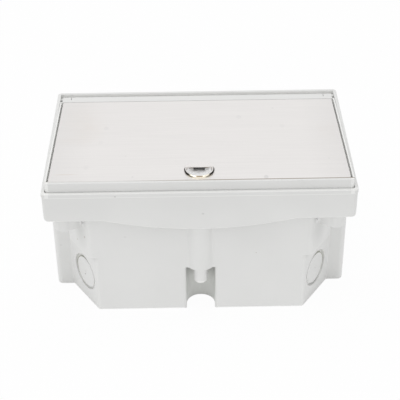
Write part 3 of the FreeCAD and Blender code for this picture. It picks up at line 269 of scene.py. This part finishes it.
class Nodes:
    """A small helper that adds linked shader nodes to one material or world."""

    def __init__(self, tree):
        self.tree = tree
        tree.nodes.clear()

    def first(self, kind):
        return next(node for node in self.tree.nodes if node.type == kind)

    def set(self, node, inputs):
        """Links each named input to the socket given for it, or sets the input's own value."""
        for name, value in inputs.items():
            if isinstance(value, bpy.types.NodeSocket):
                self.tree.links.new(value, node.inputs[name])
            else:
                node.inputs[name].default_value = value

    def add(self, kind, inputs=None, **settings):
        node = self.tree.nodes.new(kind)
        for name, value in settings.items():
            setattr(node, name, value)
        self.set(node, inputs or {})
        return node

    def maths(self, operation, a, b=0.0):
        return self.add("ShaderNodeMath", {0: a, 1: b}, operation=operation).outputs[0]

    def absolute(self, value):
        return self.maths("ABSOLUTE", value)

    def product(self, *factors):
        return functools.reduce(functools.partial(self.maths, "MULTIPLY"), factors)

    def largest(self, *values):
        return functools.reduce(functools.partial(self.maths, "MAXIMUM"), values)

    def between(self, value, low, high):
        """1 where the value lies between the two limits, and 0 elsewhere."""
        return self.product(self.maths("GREATER_THAN", value, low), self.maths("LESS_THAN", value, high))

    def length(self, a, b):
        """The length of a way with two parts."""
        return self.maths("SQRT", self.maths("ADD", self.product(a, a), self.product(b, b)))

    def towards(self, parts, way):
        """How far a way with two parts leads in a direction."""
        return self.maths("ADD", self.product(parts[0], way[0]), self.product(parts[1], way[1]))

    def ramp(self, value, low, high, start=0.0, end=1.0):
        """The value taken from low and high to start and end, and held there beyond them."""
        node = self.add("ShaderNodeMapRange", {"Value": value, "From Min": low, "From Max": high,
                                               "To Min": start, "To Max": end})
        return node.outputs["Result"]

    def blend(self, factor, first, second):
        """A number between two others."""
        return self.add("ShaderNodeMix", {0: factor, 2: first, 3: second}).outputs[0]

    def mix(self, factor, first, second):
        """A colour between two others."""
        return self.add("ShaderNodeMix", {0: factor, 6: first, 7: second}, data_type="RGBA").outputs[2]

    def scaled(self, tone, factor):
        node = self.add("ShaderNodeVectorMath", {0: tone, "Scale": factor}, operation="SCALE")
        return node.outputs["Vector"]

    def split(self, vector):
        return list(self.add("ShaderNodeSeparateXYZ", {0: vector}).outputs)

    def normal(self):
        return self.split(self.add("ShaderNodeNewGeometry").outputs["Normal"])

    def noise(self, place, scale, detail=2.0, roughness=0.5):
        node = self.add("ShaderNodeTexNoise", {"Vector": place, "Scale": scale, "Detail": detail,
                                               "Roughness": roughness})
        return node.outputs["Fac"]

    def spread(self, noise, low, high):
        """The middle range of a noise taken to two limits."""
        return self.ramp(noise, *NOISE_RANGE, low, high)

    def bump(self, height, strength, distance):
        node = self.add("ShaderNodeBump", {"Height": height, "Strength": strength, "Distance": distance})
        return node.outputs["Normal"]


def new_material(name):
    """A new material with its nodes, its main shader and the place on the object."""
    material = bpy.data.materials.new(name)
    material.use_nodes = True
    nodes = Nodes(material.node_tree)
    shader = nodes.add("ShaderNodeBsdfPrincipled")
    nodes.add("ShaderNodeOutputMaterial", {"Surface": shader.outputs[0]})
    place = nodes.add("ShaderNodeTexCoord").outputs["Object"]
    return material, nodes, shader, place


def spot(nodes, place, centre, radii, softness):
    """A soft-edged ellipsoid mask, 1 inside and 0 outside, with its centre and radii in metres."""
    away = nodes.add("ShaderNodeVectorMath", {0: place, 1: centre}, operation="SUBTRACT").outputs["Vector"]
    unit = nodes.add("ShaderNodeVectorMath", {0: away, 1: radii}, operation="DIVIDE").outputs["Vector"]
    length = nodes.add("ShaderNodeVectorMath", {0: unit}, operation="LENGTH").outputs["Value"]
    return nodes.ramp(length, 1 + softness, 1 - softness)


def specks(nodes, place):
    """A mask of a few small dust specks."""
    dots = nodes.add("ShaderNodeTexVoronoi", {"Vector": place, "Scale": SPECK_SCALE, "Randomness": 1.0})
    pick = nodes.add("ShaderNodeTexWhiteNoise", {"Vector": dots.outputs["Position"]},
                     noise_dimensions="3D")
    chosen = nodes.maths("GREATER_THAN", pick.outputs["Value"], SPECK_CHOICE)
    return nodes.product(chosen, nodes.ramp(dots.outputs["Distance"], *SPECK_FADE, SPECK_AMOUNT, 0.0))


def channel_shade_masks(nodes, axes):
    """1 on the walls of the two half-round channels, for painted shade, and 1 on the screw tube inside
    each, for a painted highlight.
    """
    across, along = nodes.absolute(axes[0]), nodes.absolute(axes[1])
    away = nodes.length(across, nodes.maths("SUBTRACT", along, TUBE_PLACE))
    inside = nodes.product(nodes.ramp(across, CHANNEL_REACH + MM, CHANNEL_REACH),
                           nodes.ramp(along, CHANNEL_FACE, CHANNEL_FACE - CHANNEL_FACE_FADE),
                           nodes.ramp(axes[2], CHANNEL_TOP, CHANNEL_TOP - MM))
    outside = nodes.ramp(away, TUBE_REACH, TUBE_REACH + MM)
    tube = nodes.maths("SUBTRACT", 1.0, outside)
    return nodes.product(inside, outside), nodes.product(inside, tube)


def highlight_mask(nodes, axes):
    """Painted highlights on the undersides of rounded edges, on the rim's step line, rear inner wall and
    front top, and on the lid's borders beside the plate."""
    normal = nodes.normal()
    under = nodes.product(nodes.ramp(normal[2], *UNDERSIDE_FROM), nodes.ramp(normal[2], *UNDERSIDE_TO))
    from_step = nodes.absolute(nodes.maths("SUBTRACT", axes[2], RIM_STEP))
    outer = [nodes.maths("GREATER_THAN", nodes.absolute(axis), face)
             for axis, face in zip(axes, RIM_OUTER_FACES)]
    step = nodes.product(nodes.ramp(from_step, *RIM_STEP_FADE, 0.0, RIM_STEP_LIGHT), nodes.largest(*outer))
    rear = nodes.product(nodes.between(axes[1], RIM_INNER_WALL, RIM_INNER_WALL + RIM_INNER_DEPTH),
                         nodes.maths("LESS_THAN", normal[1], LOOKS_FORWARD))
    top = nodes.product(nodes.maths("GREATER_THAN", normal[2], LOOKS_UP),
                        nodes.maths("GREATER_THAN", axes[2], RIM_TOP - RIM_TOP_DEPTH),
                        nodes.ramp(axes[1], -RIM_INNER_WALL + RIM_INNER_FADE, -RIM_INNER_WALL),
                        RIM_TOP_LIGHT)
    from_middle = nodes.absolute(nodes.maths("SUBTRACT", nodes.absolute(axes[0]), BORDER_MIDDLE))
    border = nodes.product(nodes.ramp(from_middle, *BORDER_FADE),
                           nodes.maths("GREATER_THAN", axes[2], RIM_TOP - BORDER_DEPTH),
                           nodes.maths("LESS_THAN", axes[1], BORDER_REAR), BORDER_LIGHT)
    return nodes.largest(under, step, rear, top, border)


def corner_light_and_shade_masks(nodes, axes):
    """Painted highlights on the corners' upright edges and ledges, painted shade under the ledges and on
    the end blocks' faces, and painted shade in the knock-outs' ring grooves."""
    normal = nodes.normal()
    across, along = nodes.absolute(axes[0]), nodes.absolute(axes[1])
    turned = nodes.absolute(normal[0])
    upright = nodes.ramp(nodes.absolute(normal[2]), *UPRIGHT_FADE)
    edge = nodes.product(nodes.ramp(turned, *ROUNDED_FROM), nodes.ramp(turned, *ROUNDED_TO), upright,
                         nodes.maths("GREATER_THAN", across, EDGE_FROM),
                         nodes.between(along, *EDGE_BAND), EDGE_LIGHT)
    facet = nodes.product(nodes.ramp(across, *FACET_ACROSS), nodes.ramp(along, *FACET_ALONG), upright)
    over = nodes.maths("SUBTRACT", axes[2], LEDGE_HEIGHT)
    ledge = nodes.product(facet, nodes.ramp(over, *LEDGE_TO), nodes.ramp(over, *LEDGE_FROM), LEDGE_LIGHT)
    under = nodes.product(facet, nodes.ramp(over, *LEDGE_SHADE_FADE),
                          nodes.maths("LESS_THAN", over, 0.0), LEDGE_SHADE)
    block = nodes.product(nodes.maths("GREATER_THAN", nodes.absolute(normal[1]), LOOKS_ALONG),
                          nodes.between(along, *BLOCK_FACE), nodes.ramp(across, *BLOCK_FADE),
                          nodes.maths("GREATER_THAN", across, BLOCK_FROM), BLOCK_SHADE)
    beside = [nodes.maths("SUBTRACT", axis, middle)
              for axis, middle in zip((across, along, axes[2]), KNOCKOUT_PLACE)]
    depth = nodes.towards(beside, KNOCKOUT_WAY)
    reach = nodes.towards(beside, (KNOCKOUT_WAY[1], -KNOCKOUT_WAY[0]))
    groove = nodes.product(nodes.between(depth, *GROOVE_DEPTHS),
                           nodes.between(nodes.length(reach, beside[2]), *GROOVE_RADII),
                           nodes.ramp(reach, *GROOVE_REACH), nodes.ramp(beside[2], *GROOVE_RISE))
    return nodes.largest(edge, ledge), nodes.largest(under, block), groove


def lid_axes(nodes, place):
    """The place with the lid closed: its X, and its distance from the hinge backwards and upwards."""
    axes = nodes.split(place)
    from_hinge = [nodes.maths("SUBTRACT", axis, middle) for axis, middle in zip(axes[1:], HINGE_PLACE)]
    cosine, sine = math.cos(LID_AJAR), math.sin(LID_AJAR)
    return axes[0], nodes.towards(from_hinge, (cosine, -sine)), nodes.towards(from_hinge, (sine, cosine))


def plate_line(nodes, place):
    """A thin brownish line along the plate's front edge, fading towards the left."""
    across, back, rise = lid_axes(nodes, place)
    away = nodes.absolute(nodes.maths("SUBTRACT", back, PLATE_FRONT - HINGE_PLACE[0]))
    return nodes.product(nodes.ramp(away, *PLATE_LINE_FADE), nodes.ramp(rise, *PLATE_LINE_RISE),
                         nodes.ramp(across, *PLATE_LINE_ACROSS))


def paint_body(nodes, place, painted):
    """The pale moulding's dust specks, painted light and shade, painted highlights, painted shade in
    grooves, and marks, over its own tone.
    """
    painted = nodes.mix(specks(nodes, place), painted, SPECK_TONE)
    axes = nodes.split(place)
    # Painted light: the body below the skirt a little lighter
    painted = nodes.scaled(painted, nodes.ramp(axes[2], *LOWER_BODY_FADE, 1.0, LOWER_BODY_LIGHT_GAIN))
    # Painted shade on the channels' walls, darker higher up, and a painted highlight on the screw tubes
    shaded, tube = channel_shade_masks(nodes, axes)
    shade = nodes.mix(nodes.ramp(axes[2], *CHANNEL_SHADE_RISE), SHADE_LOW_TONE, SHADE_HIGH_TONE)
    painted = nodes.mix(shaded, painted, shade)
    painted = nodes.mix(tube, painted, TUBE_HIGHLIGHT_TONE)
    light, dark, groove = corner_light_and_shade_masks(nodes, axes)
    # Painted shade under the ledges and on the end blocks' faces
    painted = nodes.mix(dark, painted, SHADE_HIGH_TONE)
    # Painted shade in the knock-outs' ring grooves
    painted = nodes.mix(groove, painted, GROOVE_SHADE_TONE)
    # Painted highlights on the corners' edges and ledges, rounded undersides, the rim and the lid's
    # borders
    painted = nodes.mix(nodes.largest(light, highlight_mask(nodes, axes)), painted, HIGHLIGHT_TONE)
    # Spots of painted shade and painted light at the towers, and dust specks
    for centre, radii, tone, amount, softness in BODY_SHADES_LIGHTS_AND_SPECKS:
        mark = nodes.product(spot(nodes, place, centre, radii, softness), amount)
        painted = nodes.mix(mark, painted, colour(*tone))
    return nodes.mix(nodes.product(plate_line(nodes, place), TRAY_LINE_AMOUNT), painted, LINE_TONE)


def moulded_plastic(name, base, roughness, grain=0.12, paint=None):
    """Satin moulding: a slow drift of tone, a fine spark-eroded grain and, if given, more paint, such as
    the body's painted light and shade.
    """
    material, nodes, shader, place = new_material(name)
    drift = nodes.spread(nodes.noise(place, DRIFT_SCALE, detail=3.0), 1 - DRIFT, 1 + DRIFT)
    painted = nodes.scaled(base[:3], drift)
    if paint:
        painted = paint(nodes, place, painted)
    fine = nodes.noise(place, GRAIN_SCALE)
    nodes.set(shader, {"Base Color": painted, "IOR": PLASTIC_IOR,
                       "Normal": nodes.bump(fine, grain, GRAIN_DEPTH),
                       "Roughness": nodes.spread(fine, roughness - PLASTIC_ROUGHNESS_SPREAD,
                                                 roughness + PLASTIC_ROUGHNESS_SPREAD)})
    return material


def steel_plate():
    """The lid's plate, brushed along X, with stains, finger prints, nicks, a short scratch and painted
    shade towards its sides.
    """
    material, nodes, shader, place = new_material("brushed_lid")
    stretched = nodes.add("ShaderNodeMapping", {"Vector": place, "Scale": BRUSH_SCALE}).outputs[0]
    brushing = nodes.noise(stretched, scale=1.0, detail=6.0, roughness=0.7)
    painted = nodes.scaled(PLATE_TONE[:3], nodes.spread(brushing, 1 - BRUSH_CONTRAST, 1 + BRUSH_CONTRAST))
    cloud = nodes.noise(place, scale=70.0, detail=5.0, roughness=0.65)
    patches = nodes.ramp(cloud, *STAIN_PATCHES)
    for centre, radii, amount in PLATE_STAINS:
        stain = nodes.product(spot(nodes, place, centre, radii, STAIN_SOFTNESS), patches, amount)
        painted = nodes.mix(stain, painted, STAIN_TONE)
    for centre, radius, amount in PLATE_PRINTS:
        radii = tuple(radius * stretch for stretch in PRINT_STRETCH)
        finger_print = nodes.product(spot(nodes, place, centre, radii, PRINT_SOFTNESS), amount)
        painted = nodes.mix(finger_print, painted, PRINT_AND_SHADE_TONE)
    # Painted shade towards the plate's sides
    sides = nodes.ramp(nodes.absolute(nodes.split(place)[0]), *PLATE_SIDE_SHADE)
    painted = nodes.mix(sides, painted, PRINT_AND_SHADE_TONE)
    painted = nodes.mix(plate_line(nodes, place), painted, LINE_TONE)
    nodes.set(shader, {"Base Color": painted, "Metallic": 1.0,
                       "Normal": nodes.bump(brushing, strength=0.15, distance=BRUSH_DEPTH),
                       "Roughness": nodes.spread(brushing, PLATE_ROUGHNESS - PLATE_ROUGHNESS_SPREAD,
                                                 PLATE_ROUGHNESS + PLATE_ROUGHNESS_SPREAD)})
    return material


def pull_axes(nodes, place):
    """The place from the pull's top centre with the lid closed: across to either side, back and up."""
    across, back, rise = lid_axes(nodes, place)
    back = nodes.maths("ADD", back, HINGE_PLACE[0] - PULL_TOP[0])
    rise = nodes.maths("ADD", rise, HINGE_PLACE[1] - PULL_TOP[1])
    return nodes.absolute(across), back, rise


def chrome_cup():
    """Bright chrome: a clouded satin dish, a bezel that mirrors the dark room at its sides and carries
    painted reflections, painted reflections at the lip's ends, and painted shade for the dark mouth of the
    slot in the lip's front face and its pocket."""
    material, nodes, shader, place = new_material("bright_chrome")
    across, back, rise = pull_axes(nodes, place)
    cloud = nodes.noise(place, scale=260.0, detail=3.0)
    radius = nodes.length(across, back)
    bezel = nodes.ramp(radius, *BEZEL_FROM)
    dish = nodes.product(nodes.ramp(rise, *DISH_FROM), nodes.maths("SUBTRACT", 1.0, bezel))
    clouded = nodes.product(nodes.ramp(cloud, *DISH_CLOUDS), dish)
    painted = nodes.mix(dish, CHROME_TONE, nodes.mix(clouded, DISH_TONE, DISH_CLOUD_TONE))

    # Painted reflections on the bezel: cream at its front, dark at its sides and brown at the middle of
    # its front
    front = nodes.product(bezel, nodes.ramp(back, *BEZEL_FRONT_BACK))
    painted = nodes.mix(front, painted, BEZEL_FRONT_REFLECTION_TONE)
    inner = nodes.product(bezel, nodes.ramp(radius, *BEZEL_INNER_TO))
    side = nodes.product(nodes.ramp(across, *BEZEL_SIDE_ACROSS), nodes.ramp(back, *BEZEL_SIDE_BACK))
    painted = nodes.mix(nodes.product(inner, side), painted, BEZEL_SIDE_REFLECTION_TONE)
    brown = nodes.product(nodes.ramp(across, *BEZEL_BROWN_ACROSS), nodes.ramp(back, *BEZEL_BROWN_BACK),
                          nodes.ramp(rise, *BEZEL_BROWN_RISE))
    painted = nodes.mix(nodes.product(inner, brown), painted, BEZEL_BROWN_REFLECTION_TONE)

    # Painted reflections at the lip's ends, and painted shade in its slot and the pocket behind it
    from_face = nodes.absolute(nodes.maths("SUBTRACT", back, LIP_SETBACK))
    face = nodes.product(nodes.maths("LESS_THAN", from_face, LIP_FACE_DEPTH),
                         nodes.ramp(rise, *LIP_FACE_TOP), nodes.ramp(rise, *LIP_FACE_FOOT))
    painted = nodes.mix(nodes.product(face, nodes.ramp(across, *LIP_FOOT_ACROSS)), painted, LIP_FOOT_REFLECTION_TONE)
    slot = nodes.product(face, nodes.ramp(across, *SLOT_ACROSS))
    pocket = nodes.product(nodes.ramp(back, *POCKET_BACK), dish,
                           nodes.maths("LESS_THAN", across, POCKET_HALF_WIDTH),
                           nodes.ramp(rise, *POCKET_RISE))
    painted = nodes.mix(nodes.largest(slot, pocket), painted, SLOT_SHADE_TONE)

    smooth = nodes.spread(cloud, *BEZEL_ROUGHNESS)
    satin = nodes.spread(cloud, *DISH_ROUGHNESS)
    nodes.set(shader, {"Base Color": painted, "Metallic": nodes.ramp(dish, 0.0, 1.0, 1.0, 0.0),
                       "Roughness": nodes.blend(dish, smooth, satin)})
    return material


def plain_metal(name, base, roughness):
    """Plated or turned metal with a faint cloudiness."""
    material, nodes, shader, place = new_material(name)
    cloud = nodes.noise(place, scale=300.0, detail=4.0)
    nodes.set(shader, {"Base Color": base, "Metallic": 1.0,
                       "Roughness": nodes.spread(cloud, roughness * 0.7, roughness * 1.3)})
    return material


def rubber(name, base):
    """Matt rubber with a coarse grain."""
    material, nodes, shader, place = new_material(name)
    cloud = nodes.noise(place, scale=900.0, detail=3.0)
    nodes.set(shader, {"Base Color": base,
                       "Normal": nodes.bump(cloud, strength=0.3, distance=0.1 * MM),
                       "Roughness": nodes.spread(cloud, 0.6, 0.8)})
    return material


def dress(node_names, material):
    for name in node_names:
        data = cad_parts[name].data
        data.materials.clear()
        data.materials.append(material)


def dress_everything():
    """Gives every piece its material."""
    # The pale moulding carries painted light and shade besides its dust specks
    dress(["box_body", "trim_frame", "lid_tray"],
          moulded_plastic("pale_plastic", PLASTIC_TONE, roughness=0.42, paint=paint_body))
    dress(["lid_plate"], steel_plate())
    # The pull's chrome carries painted reflections and painted shade
    dress(["finger_pull"], chrome_cup())
    dress(["corner_screws", "height_screws", "device_plate_screws", "clamp_screws",
           "earth_contact_left", "earth_contact_right", "earth_terminal_screws"],
          plain_metal("zinc_steel", colour(205, 207, 212), roughness=0.25))
    dress(["pull_clip"], plain_metal("spring_steel", colour(120, 120, 124), roughness=0.3))
    dress(["line_contacts_left", "line_contacts_right", "earth_terminal"],
          plain_metal("yellow_brass", colour(214, 180, 110), roughness=0.25))
    dress(["device_plate", "socket_left_base", "socket_right_base", "cable_clamp_left",
           "cable_clamp_right"],
          moulded_plastic("carrier_plastic", colour(176, 178, 178), roughness=0.45))
    dress(["socket_left_face", "socket_right_face", "data_face"],
          moulded_plastic("module_plastic", colour(240, 240, 237), roughness=0.22, grain=0.05))
    dress(["data_jack_left", "data_jack_right"],
          moulded_plastic("jack_plastic", colour(38, 38, 40), roughness=0.35))
    dress(["lid_bumpers"], rubber("black_rubber", colour(40, 40, 42)))


def add_camera():
    """The photograph's camera."""
    data = bpy.data.cameras.new("photo_camera")
    data.sensor_width = SENSOR_MM
    data.lens = FOCAL_PIXELS * SENSOR_MM / IMAGE_PIXELS
    data.clip_start = CLIP_START
    camera = bpy.data.objects.new("photo_camera", data)
    turn = Matrix.Rotation(CAMERA_YAW, 4, "Z") @ Matrix.Rotation(math.pi / 2 - CAMERA_PITCH, 4, "X")
    camera.matrix_world = Matrix.Translation(CAMERA_PLACE) @ turn @ Matrix.Rotation(-CAMERA_ROLL, 4, "Z")
    bpy.context.scene.collection.objects.link(camera)
    bpy.context.scene.camera = camera


def seen_rays(nodes):
    """1 for the rays that show the studio itself: straight or through glass, and in a reflection."""
    rays = nodes.add("ShaderNodeLightPath")
    direct = nodes.largest(rays.outputs["Is Camera Ray"], rays.outputs["Is Transmission Ray"])
    return direct, rays.outputs["Is Glossy Ray"]


def footprint(nodes, place):
    """1 where the floor lies under the box, its side channels included."""
    axes = nodes.split(place)
    return nodes.product(nodes.ramp(nodes.absolute(axes[0]), *FOOTPRINT_ACROSS),
                         nodes.ramp(nodes.absolute(axes[1]), *FOOTPRINT_ALONG))


def add_floor():
    """A wide pale floor: nearly white where it is seen, with a little of the object's shadow, and
    an even white light from below on the object."""
    data = bpy.data.meshes.new("studio_floor")
    corners = [(-FLOOR_REACH, -FLOOR_REACH, 0), (FLOOR_REACH, -FLOOR_REACH, 0),
               (FLOOR_REACH, FLOOR_REACH, 0), (-FLOOR_REACH, FLOOR_REACH, 0)]
    data.from_pydata(corners, [], [(0, 1, 2, 3)])
    floor = bpy.data.objects.new("studio_floor", data)
    bpy.context.scene.collection.objects.link(floor)
    material, nodes, shader, place = new_material("studio_floor")
    nodes.set(shader, {"Base Color": FLOOR_TONE,
                       "Roughness": nodes.spread(nodes.noise(place, scale=3.0), *FLOOR_ROUGHNESS)})
    bounce = nodes.ramp(footprint(nodes, place), 0.0, 1.0, FLOOR_BOUNCE_SHARE, 0.0)
    share = nodes.blend(nodes.largest(*seen_rays(nodes)), bounce, FLOOR_WHITE_SHARE)
    white = nodes.add("ShaderNodeEmission", {"Strength": FLOOR_WHITE})
    mixed = nodes.add("ShaderNodeMixShader", {0: share, 1: shader.outputs[0], 2: white.outputs[0]})
    nodes.set(nodes.first("OUTPUT_MATERIAL"), {"Surface": mixed.outputs[0]})
    data.materials.append(material)


def add_world():
    """An even pale studio: white where it is seen, with a dark room at both sides in reflections."""
    world = bpy.data.worlds.new("studio")
    bpy.context.scene.world = world
    world.use_nodes = True
    nodes = Nodes(world.node_tree)
    axes = nodes.split(nodes.add("ShaderNodeTexCoord").outputs["Generated"])
    level = nodes.maths("ADD", nodes.ramp(axes[2], *SKY_BAND, SKY_LOW, SKY_HIGH),
                        nodes.ramp(axes[0], -1.0, 1.0, SKY_TILT, -SKY_TILT))
    room = nodes.product(nodes.ramp(nodes.absolute(axes[0]), *ROOM_ASIDE),
                         nodes.ramp(nodes.absolute(axes[2]), *ROOM_LOW), ROOM_DARKNESS)
    mirrored = nodes.maths("SUBTRACT", 1.0, room)
    direct, glossy = seen_rays(nodes)
    strength = nodes.blend(direct, nodes.blend(glossy, level, mirrored), 1.0)
    background = nodes.add("ShaderNodeBackground", {"Color": (1, 1, 1, 1), "Strength": strength})
    nodes.add("ShaderNodeOutputWorld", {"Surface": background.outputs[0]})


def add_softbox():
    """The lamp above, turned towards the box."""
    data = bpy.data.lights.new("top_softbox", "AREA")
    data.shape = "RECTANGLE"
    data.size, data.size_y = SOFTBOX_SIZE
    data.energy = SOFTBOX_WATTS
    lamp = bpy.data.objects.new("top_softbox", data)
    lamp.location = SOFTBOX_PLACE
    aim = Vector(SOFTBOX_TARGET) - Vector(SOFTBOX_PLACE)
    lamp.rotation_euler = aim.to_track_quat("-Z", "Y").to_euler()
    bpy.context.scene.collection.objects.link(lamp)


bpy.context.scene.view_settings.view_transform = "Standard"
add_camera()
add_world()
add_floor()
add_softbox()
dress_everything()
